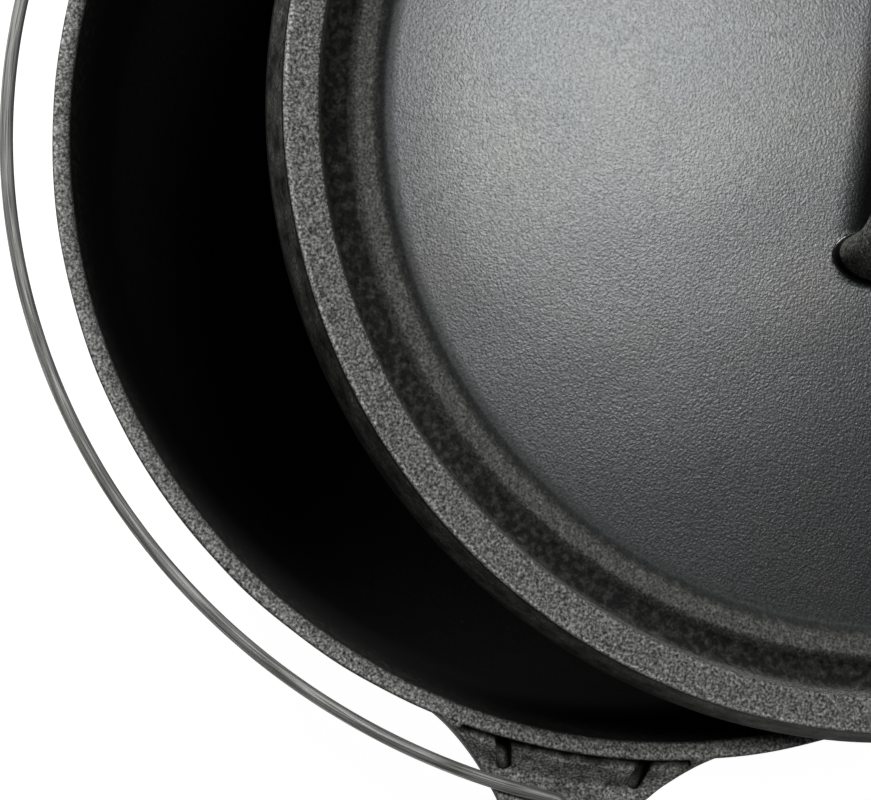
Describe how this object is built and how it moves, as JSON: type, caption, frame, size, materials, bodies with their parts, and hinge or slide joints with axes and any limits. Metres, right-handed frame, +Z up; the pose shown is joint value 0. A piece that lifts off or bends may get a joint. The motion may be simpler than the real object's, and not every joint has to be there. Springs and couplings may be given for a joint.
{
  "type": "cast iron pot",
  "caption": "Round deep cast iron pot with cast ears, a wire bail lying down beside the rim, and a cast lid with a loop handle standing ajar on the rim.",
  "frame": {"origin": "middle of the pot's flat base, on the surface that it stands on", "axes": "+Z up through the mouth of the pot; the ears and the bail's hinge line lie along X; the bail lies down toward -Y; the lid stands ajar toward +Y"},
  "size_m": [0.3458, 0.3644, 0.1689],
  "materials": {
    "cast_iron": "rough sand-cast grain, seasoned black with a dull sheen",
    "steel_wire": "drawn wire, dulled grey with fine lines along its length"
  },
  "bodies": {
    "pot": {"pot_body": "cast_iron"},
    "lid": {"lid": "cast_iron"},
    "bail": {"bail_wire": "steel_wire"}
  },
  "joints": [
    {"name": "bail_swing", "type": "hinge", "parent": "pot", "child": "bail", "pos_m": [0, 0, 0.114], "axis": [-1, 0, 0], "range_deg": [0, 90]},
    {"name": "lid_lift", "type": "slide", "parent": "pot", "child": "lid", "axis": [-0.1729, 0.6191, 0.766], "range_m": [0, 0.22]}
  ]
}
